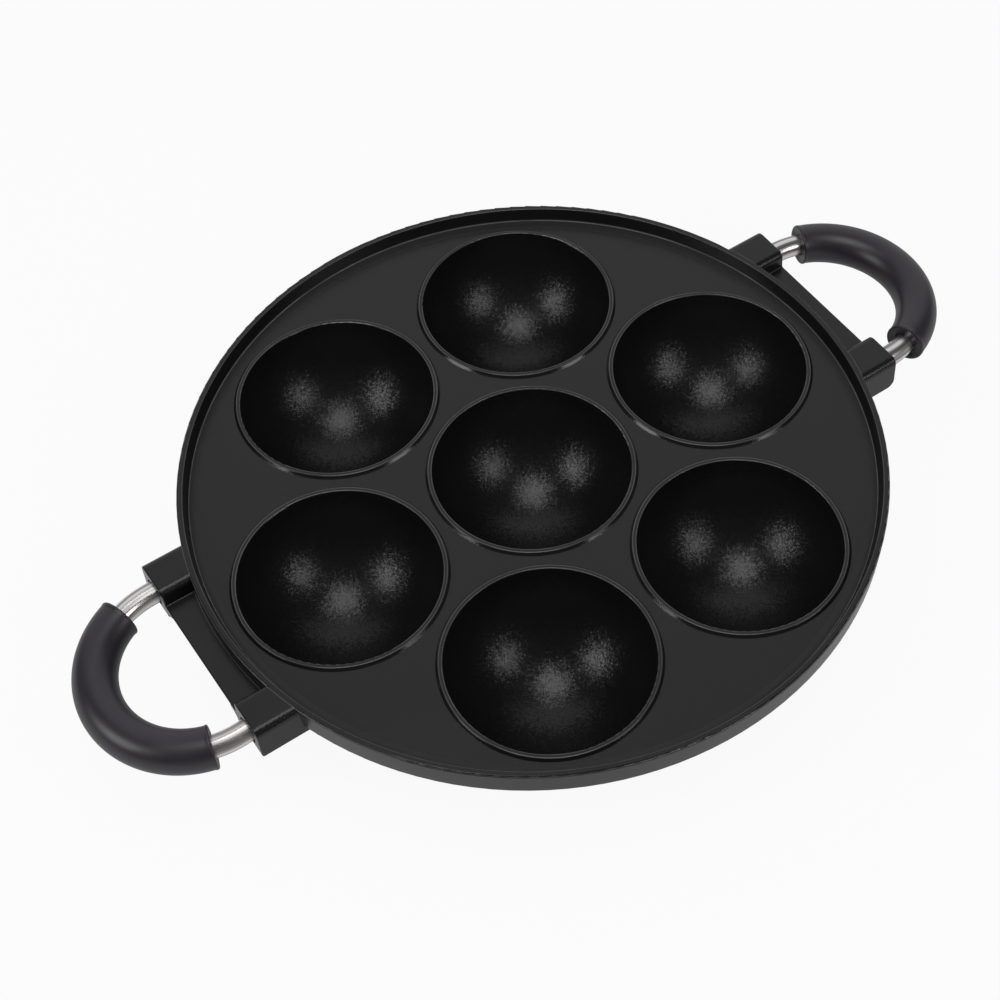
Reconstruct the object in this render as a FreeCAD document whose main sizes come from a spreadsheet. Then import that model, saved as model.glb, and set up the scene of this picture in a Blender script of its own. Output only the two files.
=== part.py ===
import FreeCAD, Part
import math
import os
import Sketcher

# Seven-well hob pan: one die casting (floor plate, raised rim, hemispherical wells, four handle lugs and a
# web between each pair of lugs), two bent rods in the lugs' bores, a soft sleeve on each rod and a slotted
# spring pin through each rod's shank.  Millimetres, +Z up.  The origin is at the centre of the pan, on the
# plane of the feet that it stands on.  The handles lie along X.

DOC = FreeCAD.newDocument("seven_well_pan")
SHEET = DOC.addObject("Spreadsheet::Sheet", "Sizes")

# Driving sizes in millimetres and degrees: alias, value, meaning.
SIZES = [
    ("rim_radius", 110.1, "outer radius of the rim at its top"),
    ("rim_height", 4.95, "rim top above the pan's floor"),
    ("rim_width", 1.95, "flat width of the rim's top"),
    ("rim_rounding", 0.6, "radius of the rim's outer top edge"),
    ("rim_inner_rounding", 0.4, "radius of the rim's inner top edge"),
    ("dish_radius", 8.0, "hollow radius by which the floor curves up towards the rim's inner wall"),
    ("dish_width", 3.0, "width of that curved border of the floor"),
    ("inner_draft", 1.4, "how far the rim's inner wall runs in from top to floor"),
    ("outer_draft", 0.2, "how far the rim's outer wall runs in from top to bottom"),
    ("plate_thickness", 3.9, "floor plate"),
    ("plate_rounding", 0.8, "radius of the plate's lower outer edge"),
    ("well_count", 6, "wells in the outer circle, besides the one in the middle"),
    ("well_pitch", 69.75, "radius of the circle of outer wells"),
    ("well_radius", 31.15, "inner radius of a hemispherical well"),
    ("well_wall", 2.5, "wall of a well"),
    ("lip_width", 1.4, "width of the low lip round a well's mouth"),
    ("lip_height", 0.9, "lip top above the floor"),
    ("lip_skirt", 0.8, "how far the lip's outer side runs out from top to floor"),
    ("lip_rounding", 0.4, "radius of the lip's two top edges"),
    ("foot_radius", 12.0, "flat foot under each well"),
    ("foot_thickness", 2.85, "metal under the lowest point of a well"),
    ("lug_spacing", 28.8, "distance of a lug's middle from the handle axis"),
    ("lug_half_width", 7.5, "half the width of a lug at its base"),
    ("lug_draft", 0.8, "how far each side of a lug runs in from bottom to top"),
    ("lug_shoulder", 2.6, "radius of a lug's long top edges"),
    ("lug_drop", 7.0, "lug underside below the pan's floor"),
    ("lug_reach", 7.7, "how far a lug's end face stands out past the rim"),
    ("lug_bury", 10.6, "how far a lug runs in under the plate from the rim"),
    ("lug_toe_right", 2.8, "radius of a right-hand lug's lower end edge"),
    ("lug_toe_left", 0.7, "radius of a left-hand lug's lower end edge, which is crisper"),
    ("lug_edge", 0.4, "radius round the rest of a lug's end face"),
    ("lug_foot", 0.5, "hollow radius between a lug's inner side and the web's top"),
    ("lug_gusset", 3.0, "hollow radius between a lug's inner side and the web's underside"),
    ("web_drop", 1.0, "web top below the pan's floor"),
    ("web_thickness", 2.5, "web plate"),
    ("web_bevel", 1.9, "slanting cut under the web's outer edge"),
    ("rod_diameter", 7.0, "handle rod"),
    ("rod_chamfer", 0.6, "bevel on a rod's two ends"),
    ("rod_drop", 1.8, "rod axis below the pan's floor at the lug's end face"),
    ("rod_droop", 2.6, "degrees by which a handle slopes down and out"),
    ("shank_run", 2.4, "straight rod between a lug's end face and the bow"),
    ("shank_depth", 11.0, "rod inside the lug"),
    ("bore_floor_gap", 0.2, "space between the rod's end and the bottom of its bore"),
    ("bore_run_in", 1.0, "how far outside the end face the drill starts"),
    ("rod_fit", 0.02, "radial clearance of the rod in its bore"),
    ("mouth_diameter", 8.4, "wider mouth of a bore"),
    ("mouth_depth", 3.5, "depth of that mouth"),
    ("sleeve_diameter", 13.6, "outside of the sleeve at its middle"),
    ("sleeve_taper", 0.6, "how much thinner the sleeve is at its ends"),
    ("sleeve_fit", 0.05, "radial clearance of the sleeve on the rod"),
    ("sleeve_half_angle", 71.6, "degrees of bow covered each side of the sleeve's middle"),
    ("sleeve_slip", 2.0, "degrees by which the left sleeve sits round towards the front"),
    ("sleeve_lip", 0.15, "how far the sleeve's end lips stand out"),
    ("sleeve_lip_angle", 2.5, "degrees of bow covered by one end lip"),
    ("sleeve_edge", 0.5, "radius of the sleeve's outer end edges"),
    ("pin_diameter", 3.0, "spring pin"),
    ("pin_wall", 0.6, "wall of the rolled spring pin"),
    ("pin_slot", 0.7, "width of the pin's slot"),
    ("pin_chamfer", 0.25, "bevel on the pin's outer end edges"),
    ("pin_setback", 7.4, "pin axis behind the lug's end face"),
    ("pin_reach", 3.9, "pin top above the rod's axis at the end face"),
    ("pin_recess", 0.5, "pin's lower end inside the lug's underside"),
    ("pin_fit", 0.01, "radial clearance of the pin in its hole"),
    ("pin_end_gap", 0.3, "space above the pin in its blind hole"),
]
for row, (alias, value, meaning) in enumerate(SIZES, start=1):
    SHEET.set("A%d" % row, alias)
    SHEET.set("B%d" % row, str(value))
    SHEET.setAlias("B%d" % row, alias)
    SHEET.set("C%d" % row, meaning)
DOC.recompute()

# Heights and radii that several pieces share, worked out from the driving sizes.
FLOOR = "(Sizes.well_radius + Sizes.foot_thickness)"
RIM_TOP = "(%s + Sizes.rim_height)" % FLOOR
LIP_TOP = "(%s + Sizes.lip_height)" % FLOOR
PLATE_BOTTOM = "(%s - Sizes.plate_thickness)" % FLOOR
LUG_BOTTOM = "(%s - Sizes.lug_drop)" % FLOOR
LUG_END = "(Sizes.rim_radius + Sizes.lug_reach)"
LUG_ROOT = "(Sizes.rim_radius - Sizes.lug_bury)"
WEB_TOP = "(%s - Sizes.web_drop)" % FLOOR
WEB_BOTTOM = "(%s - Sizes.web_thickness)" % WEB_TOP
ROD_LEVEL = "(%s - Sizes.rod_drop)" % FLOOR
RIM_INSIDE = "(Sizes.rim_radius - Sizes.rim_width)"
FLOOR_RADIUS = "(%s - Sizes.inner_draft)" % RIM_INSIDE
PLATE_RADIUS = "(Sizes.rim_radius - Sizes.outer_draft)"
SHELL_RADIUS = "(Sizes.well_radius + Sizes.well_wall)"
LIP_RADIUS = "(Sizes.well_radius + Sizes.lip_width)"
ROD_RADIUS = "(Sizes.rod_diameter / 2)"
SLEEVE_RADIUS = "(Sizes.sleeve_diameter / 2)"
SLEEVE_END_RADIUS = "((Sizes.sleeve_diameter - Sizes.sleeve_taper) / 2)"
PIN_BOTTOM = "(%s + Sizes.pin_recess)" % LUG_BOTTOM

# Leans, in degrees from upright, of the rim's inner wall and of the outer side of a well's lip.
WALL_LEAN = "atan(Sizes.inner_draft / Sizes.rim_height)"
LIP_LEAN = "atan(Sizes.lip_skirt / Sizes.lip_height)"


def plane(body, role):
    """The body's own origin plane or axis with this role."""
    return next(item for item in body.Origin.OriginFeatures if item.Role == role)


def number(owner, expression):
    """Value that an expression has now, as a plain number."""
    value = owner.evalExpression(expression)
    return float(getattr(value, "Value", value))


def pin_point(sketch, geometry, position, x, y):
    """Hold one point of a sketch at the place that two expressions give."""
    for kind, axis, expression in (("DistanceX", -2, x), ("DistanceY", -1, y)):
        if expression == "0":
            sketch.addConstraint(Sketcher.Constraint("PointOnObject", geometry, position, axis))
        else:
            value = number(sketch, expression)
            index = sketch.addConstraint(Sketcher.Constraint(kind, -1, 1, geometry, position, value))
            sketch.setExpression("Constraints[%d]" % index, expression)


def new_sketch(body, name, role, offset="0"):
    """Sketch on one of the body's origin planes, moved along its normal by an expression."""
    sketch = body.newObject("Sketcher::SketchObject", name)
    sketch.AttachmentSupport = [(plane(body, role), "")]
    sketch.MapMode = "FlatFace"
    if offset != "0":
        sketch.setExpression("AttachmentOffset.Base.z", offset)
    return sketch


def add_outline(sketch, corners):
    """Closed outline.  A corner is (x, y), or (x, y, radius) where an arc leads to it, bulging outwards.

    A negative radius makes the arc hollow.  The outline runs anticlockwise.
    """
    spots = [FreeCAD.Vector(number(sketch, c[0]), number(sketch, c[1]), 0) for c in corners]
    radii = [number(sketch, c[2]) if len(c) == 3 else 0 for c in corners]
    sides = []
    for place, corner in enumerate(corners):
        start = spots[place - 1]
        end = spots[place]
        radius = radii[place]
        if radius == 0:
            sides.append(sketch.addGeometry(Part.LineSegment(start, end), False))
            continue
        chord = end.sub(start)
        outward = FreeCAD.Vector(chord.y, -chord.x, 0).normalize()
        sagitta = abs(radius) - math.sqrt(radius ** 2 - (chord.Length / 2) ** 2)
        middle = start.add(end).multiply(0.5).add(outward.multiply(math.copysign(sagitta, radius)))
        side = sketch.addGeometry(Part.Arc(start, middle, end), False)
        constraint = sketch.addConstraint(Sketcher.Constraint("Radius", side, abs(radius)))
        expression = corner[2] if radius > 0 else "-(%s)" % corner[2]
        sketch.setExpression("Constraints[%d]" % constraint, expression)
        sides.append(side)
    # A sketch stores each arc anticlockwise, so a hollow one has its first and second points swapped.
    for place, side in enumerate(sides):
        after = (place + 1) % len(sides)
        end_point = 1 if radii[place] < 0 else 2
        start_point = 2 if radii[after] < 0 else 1
        sketch.addConstraint(Sketcher.Constraint("Coincident", side, end_point, sides[after], start_point))
        pin_point(sketch, side, end_point, corners[place][0], corners[place][1])


def blend(radius, lean):
    """Tangent length of an arc between a level line and a leaning side, and that length's run and rise."""
    length = "(%s * tan(45 deg - %s / 2))" % (radius, lean)
    return length, "%s * sin(%s)" % (length, lean), "%s * cos(%s)" % (length, lean)


def add_circle(sketch, x, y, radius):
    """Circle whose centre and radius are expressions."""
    centre = FreeCAD.Vector(number(sketch, x), number(sketch, y), 0)
    size = number(sketch, radius)
    circle = sketch.addGeometry(Part.Circle(centre, FreeCAD.Vector(0, 0, 1), size), False)
    pin_point(sketch, circle, 3, x, y)
    index = sketch.addConstraint(Sketcher.Constraint("Radius", circle, size))
    sketch.setExpression("Constraints[%d]" % index, radius)


def add_axis(sketch, x, low, high):
    """Upright construction line at x, which a revolved feature turns about."""
    ends = [FreeCAD.Vector(number(sketch, x), number(sketch, y), 0) for y in (low, high)]
    line = sketch.addGeometry(Part.LineSegment(*ends), True)
    pin_point(sketch, line, 1, x, low)
    pin_point(sketch, line, 2, x, high)


def turned(body, kind, name, sketch, axis="V_Axis", angle="360", backwards=False, both_ways=False):
    """Revolution or Groove of a sketch about one of its axes."""
    feature = body.newObject("PartDesign::" + kind, name)
    feature.Profile = sketch
    feature.ReferenceAxis = (sketch, [axis])
    feature.setExpression("Angle", angle)
    feature.Reversed = backwards
    feature.Midplane = both_ways
    DOC.recompute()
    return feature


def pushed(body, kind, name, sketch, length, backwards=False, both_ways=False):
    """Pad or Pocket of a sketch by an expression's length."""
    feature = body.newObject("PartDesign::" + kind, name)
    feature.Profile = sketch
    feature.setExpression("Length", length)
    feature.Reversed = backwards
    feature.Midplane = both_ways
    DOC.recompute()
    return feature


def around(body, name, feature, count):
    """Repeat a feature about the body's Z axis."""
    pattern = body.newObject("PartDesign::PolarPattern", name)
    pattern.Originals = [feature]
    pattern.Axis = (plane(body, "Z_Axis"), [""])
    pattern.Angle = 360
    pattern.setExpression("Occurrences", count)
    body.Tip = pattern
    DOC.recompute()
    return pattern


def rounded(body, name, kind, size_name, size, picks):
    """Fillet or Chamfer of the tip's edges that a test picks."""
    base = body.Tip
    edges = ["Edge%d" % n for n, edge in enumerate(base.Shape.Edges, start=1) if picks(edge)]
    feature = body.newObject("PartDesign::" + kind, name)
    feature.Base = (base, edges)
    feature.setExpression(size_name, size)
    DOC.recompute()
    return feature


def new_body(label):
    """Empty PartDesign body with its label."""
    body = DOC.addObject("PartDesign::Body", label)
    body.Label = label
    return body


def cast_disc(body):
    """Full-height disc of the rim and plate, before the tray is hollowed out."""
    sketch = new_sketch(body, "disc_outline", "XZ_Plane")
    add_outline(sketch, [
        ("0", PLATE_BOTTOM),
        ("%s - Sizes.plate_rounding" % PLATE_RADIUS, PLATE_BOTTOM),
        (PLATE_RADIUS, "%s + Sizes.plate_rounding" % PLATE_BOTTOM, "Sizes.plate_rounding"),
        ("Sizes.rim_radius", "%s - Sizes.rim_rounding" % RIM_TOP),
        ("Sizes.rim_radius - Sizes.rim_rounding", RIM_TOP, "Sizes.rim_rounding"),
        ("0", RIM_TOP),
    ])
    turned(body, "Revolution", "disc", sketch)


def cast_lug_pair(body, side):
    """Two lugs, flush with the rim top, and the web between them, as one bar that runs in under the plate."""
    outer = "(Sizes.lug_spacing + Sizes.lug_half_width)"
    inner = "(Sizes.lug_spacing - Sizes.lug_half_width)"
    lean = "Sizes.lug_draft / (Sizes.lug_drop + Sizes.rim_height)"
    profile = [
        (outer, LUG_BOTTOM),
        ("%s - Sizes.lug_draft" % outer, RIM_TOP),
        ("%s + Sizes.lug_draft" % inner, RIM_TOP),
        ("%s + (Sizes.lug_drop - Sizes.web_drop) * %s" % (inner, lean), WEB_TOP),
    ]
    under = [
        ("%s + (Sizes.lug_drop - Sizes.web_drop - Sizes.web_thickness) * %s" % (inner, lean), WEB_BOTTOM),
        (inner, LUG_BOTTOM),
    ]
    mirrored = [("-(%s)" % y, z) for y, z in reversed(profile)]
    mirrored_under = [("-(%s)" % y, z) for y, z in reversed(under)]
    name = "lug_pair_" + ("right" if side > 0 else "left")
    sketch = new_sketch(body, name + "_section", "YZ_Plane", "%d * %s" % (side, LUG_ROOT))
    add_outline(sketch, profile + mirrored + mirrored_under + under)
    pushed(body, "Pad", name, sketch, "Sizes.lug_reach + Sizes.lug_bury", side < 0)


def round_lug_pairs(body):
    """Shoulders, hollow feet and gussets along the bars, then the roundings of their end faces."""
    end_x = number(body, LUG_END)

    def along_at(level):
        height = number(body, level)
        return lambda edge: (all(abs(v.Z - height) < 1e-4 for v in edge.Vertexes)
                             and edge.BoundBox.XLength > end_x / 20
                             and edge.BoundBox.YLength < 1e-4)

    def at_end(edge):
        return all(abs(abs(v.X) - end_x) < 1e-4 for v in edge.Vertexes)

    def toe_of(side):
        bottom = number(body, LUG_BOTTOM)
        return lambda edge: (at_end(edge) and edge.Vertexes[0].X * side > 0
                             and all(abs(v.Z - bottom) < 1e-4 for v in edge.Vertexes))

    rounded(body, "shoulders", "Fillet", "Radius", "Sizes.lug_shoulder", along_at(RIM_TOP))
    rounded(body, "feet", "Fillet", "Radius", "Sizes.lug_foot", along_at(WEB_TOP))
    rounded(body, "gussets", "Fillet", "Radius", "Sizes.lug_gusset", along_at(WEB_BOTTOM))
    rounded(body, "toes_right", "Fillet", "Radius", "Sizes.lug_toe_right", toe_of(1))
    rounded(body, "toes_left", "Fillet", "Radius", "Sizes.lug_toe_left", toe_of(-1))
    rounded(body, "end_edges", "Fillet", "Radius", "Sizes.lug_edge", at_end)


def bevel_webs(body):
    """Slanting cut under each web's outer edge, which leaves the edge thin between the gussets."""
    width = "2 * (Sizes.lug_spacing - Sizes.lug_half_width - Sizes.lug_gusset)"
    for side, name in ((1, "right"), (-1, "left")):
        start = "%d * (%s - Sizes.web_bevel)" % (side, LUG_END)
        clear = "%d * (%s + Sizes.web_bevel)" % (side, LUG_END)
        sketch = new_sketch(body, "web_bevel_%s_outline" % name, "XZ_Plane")
        corners = [
            (start, WEB_BOTTOM),
            (clear, WEB_BOTTOM),
            (clear, "%s + 2 * Sizes.web_bevel" % WEB_BOTTOM),
        ]
        add_outline(sketch, corners if side > 0 else corners[::-1])
        pushed(body, "Pocket", "web_bevel_" + name, sketch, width, both_ways=True)


def hollow_tray(body):
    """Shallow tray inside the rim: its floor curves up at the border, and its wall is rounded on top."""
    above = "%s + 2 * Sizes.rim_height" % RIM_TOP
    border_rise = "(Sizes.dish_radius - sqrt(Sizes.dish_radius ^ 2 - Sizes.dish_width ^ 2))"
    border = "(%s + %s * tan(%s))" % (FLOOR_RADIUS, border_rise, WALL_LEAN)
    edge, edge_run, edge_rise = blend("Sizes.rim_inner_rounding", WALL_LEAN)
    sketch = new_sketch(body, "tray_outline", "XZ_Plane")
    add_outline(sketch, [
        ("0", FLOOR),
        ("%s - Sizes.dish_width" % border, FLOOR),
        (border, "%s + %s" % (FLOOR, border_rise), "Sizes.dish_radius"),
        ("%s - %s" % (RIM_INSIDE, edge_run), "%s - %s" % (RIM_TOP, edge_rise)),
        ("%s + %s" % (RIM_INSIDE, edge), RIM_TOP, "-Sizes.rim_inner_rounding"),
        ("%s + %s" % (RIM_INSIDE, edge), above),
        ("0", above),
    ])
    turned(body, "Groove", "tray", sketch)


def well_shell(body, name, x):
    """Outside of one well, its lip and its flat foot, as a solid turned about an upright axis at x."""
    buried = "(Sizes.plate_thickness / 4)"
    shell_top = "sqrt(%s ^ 2 - %s ^ 2)" % (SHELL_RADIUS, buried)
    foot_top = "(%s - sqrt(%s ^ 2 - Sizes.foot_radius ^ 2))" % (FLOOR, SHELL_RADIUS)
    skirt_foot = "(%s + Sizes.lip_skirt * (1 + %s / Sizes.lip_height))" % (LIP_RADIUS, buried)
    edge, edge_run, edge_fall = blend("Sizes.lip_rounding", LIP_LEAN)
    sketch = new_sketch(body, name + "_outline", "XZ_Plane")
    add_outline(sketch, [
        (x, "0"),
        ("%s + Sizes.foot_radius" % x, "0"),
        ("%s + Sizes.foot_radius" % x, foot_top),
        ("%s + %s" % (x, shell_top), "%s - %s" % (FLOOR, buried), SHELL_RADIUS),
        ("%s + %s" % (x, skirt_foot), "%s - %s" % (FLOOR, buried)),
        ("%s + %s + %s" % (x, LIP_RADIUS, edge_run), "%s - %s" % (LIP_TOP, edge_fall)),
        ("%s + %s - %s" % (x, LIP_RADIUS, edge), LIP_TOP, "Sizes.lip_rounding"),
        (x, LIP_TOP),
    ])
    add_axis(sketch, x, "0", LIP_TOP)
    return turned(body, "Revolution", name, sketch, "Axis0")


def well_hollow(body, name, x):
    """Hemispherical inside of one well with a rounded mouth, turned about an upright axis at x."""
    above = "%s + Sizes.rim_height" % RIM_TOP
    sketch = new_sketch(body, name + "_outline", "XZ_Plane")
    add_outline(sketch, [
        (x, "Sizes.foot_thickness"),
        ("%s + Sizes.well_radius" % x, FLOOR, "Sizes.well_radius"),
        ("%s + Sizes.well_radius" % x, "%s - Sizes.lip_rounding" % LIP_TOP),
        ("%s + Sizes.well_radius + Sizes.lip_rounding" % x, LIP_TOP, "-Sizes.lip_rounding"),
        ("%s + Sizes.well_radius + Sizes.lip_rounding" % x, above),
        (x, above),
    ])
    add_axis(sketch, x, "0", LIP_TOP)
    return turned(body, "Groove", name, sketch, "Axis0")


def drill_lug(body, side, end):
    """Rod bore with its wider mouth, in line with the drooping shank, and the upright pin hole from below."""
    name = "%s_%s" % ("right" if side > 0 else "left", "rear" if end > 0 else "front")
    turn = "rotation(vector(1; 0; 0); %d * Sizes.rod_droop)" % side
    for part, radius, depth in (
        ("bore", "%s + Sizes.rod_fit" % ROD_RADIUS, "Sizes.shank_depth + Sizes.bore_floor_gap"),
        ("mouth", "Sizes.mouth_diameter / 2", "Sizes.mouth_depth"),
    ):
        sketch = new_sketch(body, "%s_%s_circle" % (part, name), "YZ_Plane")
        start = "vector(0; %s - Sizes.bore_run_in * sin(Sizes.rod_droop * 1 deg); %d * (%s + %s))" % (
            ROD_LEVEL, side, LUG_END, "Sizes.bore_run_in * cos(Sizes.rod_droop * 1 deg)")
        sketch.setExpression("AttachmentOffset", "placement(%s; %s)" % (start, turn))
        add_circle(sketch, "%d * Sizes.lug_spacing" % end, "0", radius)
        pushed(body, "Pocket", "%s_%s" % (part, name), sketch, depth + " + Sizes.bore_run_in", side < 0)
    sketch = new_sketch(body, "pin_hole_%s_circle" % name, "XY_Plane", LUG_BOTTOM)
    add_circle(
        sketch,
        "%d * (%s - Sizes.pin_setback)" % (side, LUG_END),
        "%d * Sizes.lug_spacing" % end,
        "Sizes.pin_diameter / 2 + Sizes.pin_fit",
    )
    height = "Sizes.lug_drop - Sizes.rod_drop + Sizes.pin_reach + Sizes.pin_end_gap"
    pushed(body, "Pocket", "pin_hole_" + name, sketch, height, True)


def make_pan_body():
    """The casting."""
    body = new_body("pan_body")
    body.AllowCompound = True
    for side in (1, -1):
        cast_lug_pair(body, side)
    round_lug_pairs(body)
    bevel_webs(body)
    cast_disc(body)
    hollow_tray(body)
    around(body, "outer_shells", well_shell(body, "outer_shell", "Sizes.well_pitch"), "Sizes.well_count")
    well_shell(body, "middle_shell", "0 * Sizes.well_pitch")
    around(body, "outer_hollows", well_hollow(body, "outer_hollow", "Sizes.well_pitch"), "Sizes.well_count")
    well_hollow(body, "middle_hollow", "0 * Sizes.well_pitch")
    for side in (1, -1):
        for end in (1, -1):
            drill_lug(body, side, end)
    return body


def place_handle_piece(body, side, slip="0"):
    """Put a body whose origin is the bow's centre at one side, drooping, and turned along the bow."""
    turn = "rotation(vector(0; 1; 0); Sizes.rod_droop) * rotation(vector(0; 0; 1); %s)" % slip
    if side < 0:
        turn = "rotation(vector(0; 0; 1); 180) * " + turn
    run = "Sizes.shank_run * cos(Sizes.rod_droop * 1 deg)"
    fall = "Sizes.shank_run * sin(Sizes.rod_droop * 1 deg)"
    base = "vector(%d * (%s + %s); 0; %s - %s)" % (side, LUG_END, run, ROD_LEVEL, fall)
    body.setExpression("Placement", "placement(%s; %s)" % (base, turn))


def make_rod(label, side):
    """Bent rod.  Its own X axis runs outwards along the handle from the bow's centre."""
    body = new_body(label)
    sketch = new_sketch(body, "bow_section", "YZ_Plane")
    add_circle(sketch, "Sizes.lug_spacing", "0", ROD_RADIUS)
    turned(body, "Revolution", "bow", sketch, "V_Axis", "180", backwards=True)
    for end, name in ((1, "rear"), (-1, "front")):
        sketch = new_sketch(body, "shank_%s_section" % name, "YZ_Plane")
        add_circle(sketch, "%d * Sizes.lug_spacing" % end, "0", ROD_RADIUS)
        pushed(body, "Pad", "shank_" + name, sketch, "Sizes.shank_run + Sizes.shank_depth", True)
    tip = -number(body, "Sizes.shank_run + Sizes.shank_depth")
    rounded(body, "tip_bevels", "Chamfer", "Size", "Sizes.rod_chamfer",
            lambda edge: all(abs(v.X - tip) < 1e-4 for v in edge.Vertexes))
    for end, name in ((1, "rear"), (-1, "front")):
        sketch = new_sketch(body, "pin_hole_%s_circle" % name, "XY_Plane")
        sketch.setExpression(
            "AttachmentOffset", "placement(vector(0; 0; 0); rotation(vector(0; 1; 0); -Sizes.rod_droop))")
        add_circle(
            sketch,
            "-(Sizes.pin_setback + Sizes.shank_run * cos(Sizes.rod_droop * 1 deg))",
            "%d * Sizes.lug_spacing" % end,
            "Sizes.pin_diameter / 2 + Sizes.pin_fit",
        )
        pushed(body, "Pocket", "pin_hole_" + name, sketch, "4 * Sizes.rod_diameter", both_ways=True)
    place_handle_piece(body, side)
    return body


def bow_section(body, name, degrees):
    """Sketch on the plane across the bow at an angle from its middle; its X is the bow's radius."""
    sketch = new_sketch(body, name, "XZ_Plane")
    place = "placement(vector(0; 0; 0); rotation(vector(0; 1; 0); %s))" % degrees
    sketch.setExpression("AttachmentOffset", place)
    return sketch


def make_sleeve(label, side):
    """Soft tube with an end lip each way, thickest at its middle.  Its origin is the bow's centre."""
    body = new_body(label)
    path = new_sketch(body, "sleeve_path", "XY_Plane")
    half_angle = math.radians(number(path, "Sizes.sleeve_half_angle"))
    circle = Part.Circle(FreeCAD.Vector(), FreeCAD.Vector(0, 0, 1), number(path, "Sizes.lug_spacing"))
    arc = path.addGeometry(Part.ArcOfCircle(circle, -half_angle, half_angle), False)
    across = "Sizes.lug_spacing * cos(Sizes.sleeve_half_angle * 1 deg)"
    along = "Sizes.lug_spacing * sin(Sizes.sleeve_half_angle * 1 deg)"
    pin_point(path, arc, 3, "0", "0")
    pin_point(path, arc, 1, across, "-" + along)
    constraint = path.addConstraint(Sketcher.Constraint("DistanceY", -1, 1, arc, 2, number(path, along)))
    path.setExpression("Constraints[%d]" % constraint, along)

    sections = []
    for name, degrees, radius in (
        ("front_section", "-Sizes.sleeve_half_angle", SLEEVE_END_RADIUS),
        ("middle_section", "0 * Sizes.sleeve_half_angle", SLEEVE_RADIUS),
        ("rear_section", "Sizes.sleeve_half_angle", SLEEVE_END_RADIUS),
    ):
        section = bow_section(body, name, degrees)
        add_circle(section, "Sizes.lug_spacing", "0", radius)
        sections.append(section)
    tube = body.newObject("PartDesign::AdditivePipe", "tube")
    tube.Profile = sections[0]
    tube.Spine = path
    tube.Transformation = "Multisection"
    tube.Sections = sections[1:]
    DOC.recompute()

    for sign, name in ((-1, "front"), (1, "rear")):
        section = bow_section(body, "lip_%s_section" % name, "%d * Sizes.sleeve_half_angle" % sign)
        add_circle(section, "Sizes.lug_spacing", "0", "%s + Sizes.sleeve_lip" % SLEEVE_END_RADIUS)
        turned(body, "Revolution", "lip_" + name, section, "V_Axis", "Sizes.sleeve_lip_angle", sign > 0)
    end_y = number(body, along)
    radius = number(body, SLEEVE_END_RADIUS)

    def lip_end(edge):
        centre_y = abs(edge.BoundBox.Center.y)
        return abs(centre_y - end_y) < radius / 100 and edge.BoundBox.ZLength > radius

    rounded(body, "end_rounding", "Fillet", "Radius", "Sizes.sleeve_edge", lip_end)
    section = bow_section(body, "bore_section", "0 * Sizes.sleeve_half_angle")
    add_circle(section, "Sizes.lug_spacing", "0", "%s + Sizes.sleeve_fit" % ROD_RADIUS)
    past_ends = "2 * (Sizes.sleeve_half_angle + Sizes.sleeve_lip_angle)"
    turned(body, "Groove", "bore", section, "V_Axis", past_ends, both_ways=True)
    place_handle_piece(body, side, "0" if side > 0 else "Sizes.sleeve_slip")
    return body


def make_pin(label, side, end):
    """Slotted spring pin, upright, with its lower end at its own origin."""
    body = new_body(label)
    length = "%s + Sizes.pin_reach - %s" % (ROD_LEVEL, PIN_BOTTOM)
    sketch = new_sketch(body, "roll_section", "XY_Plane")
    add_circle(sketch, "0", "0", "Sizes.pin_diameter / 2")
    pushed(body, "Pad", "roll", sketch, length)
    rounded(body, "end_bevels", "Chamfer", "Size", "Sizes.pin_chamfer", lambda edge: len(edge.Vertexes) == 1)
    sketch = new_sketch(body, "core_section", "XY_Plane")
    add_circle(sketch, "0", "0", "Sizes.pin_diameter / 2 - Sizes.pin_wall")
    pushed(body, "Pocket", "core", sketch, "2 * (%s)" % length, both_ways=True)
    sketch = new_sketch(body, "slot_section", "XY_Plane")
    add_outline(sketch, [
        ("0", "-Sizes.pin_slot / 2"),
        ("Sizes.pin_diameter", "-Sizes.pin_slot / 2"),
        ("Sizes.pin_diameter", "Sizes.pin_slot / 2"),
        ("0", "Sizes.pin_slot / 2"),
    ])
    pushed(body, "Pocket", "slot", sketch, "2 * (%s)" % length, both_ways=True)
    body.setExpression("Placement.Base.x", "%d * (%s - Sizes.pin_setback)" % (side, LUG_END))
    body.setExpression("Placement.Base.y", "%d * Sizes.lug_spacing" % end)
    body.setExpression("Placement.Base.z", PIN_BOTTOM)
    return body


def make_all():
    """Every sub-part, in file order."""
    parts = [make_pan_body()]
    for side, name in ((-1, "left"), (1, "right")):
        parts.append(make_rod("handle_rod_" + name, side))
        parts.append(make_sleeve("grip_sleeve_" + name, side))
        for end, place in ((-1, "front"), (1, "rear")):
            parts.append(make_pin("rod_pin_%s_%s" % (name, place), side, end))
    DOC.recompute()
    return parts


def check_document(parts):
    """Stop when an object failed or a sub-part has no valid single solid."""
    for item in DOC.Objects:
        if {"Invalid", "Error"} & set(item.State):
            raise RuntimeError("%s failed: %s" % (item.Name, item.State))
    for part in parts:
        shape = part.Shape
        if shape.isNull() or not shape.isValid() or len(shape.Solids) != 1:
            raise RuntimeError("%s has no single valid solid" % part.Label)


PARTS = make_all()
check_document(PARTS)
os.makedirs("parts", exist_ok=True)
for piece in PARTS:
    piece.Shape.exportStep("parts/%s.step" % piece.Label)
    print(piece.Label, round(piece.Shape.Volume, 1), piece.Shape.optimalBoundingBox())
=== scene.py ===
"""Seven-well takoyaki pan: a black non-stick casting with two looped side handles.

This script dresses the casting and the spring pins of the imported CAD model, builds the bent rods and the
soft sleeves again as fine swept surfaces in the same places, and sets up the studio.  Everything is in
metres, with +Z up, the handles along X and the pan standing on z = 0.
"""

import logging
import math
from dataclasses import dataclass, field
from enum import Enum
from typing import Optional

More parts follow.
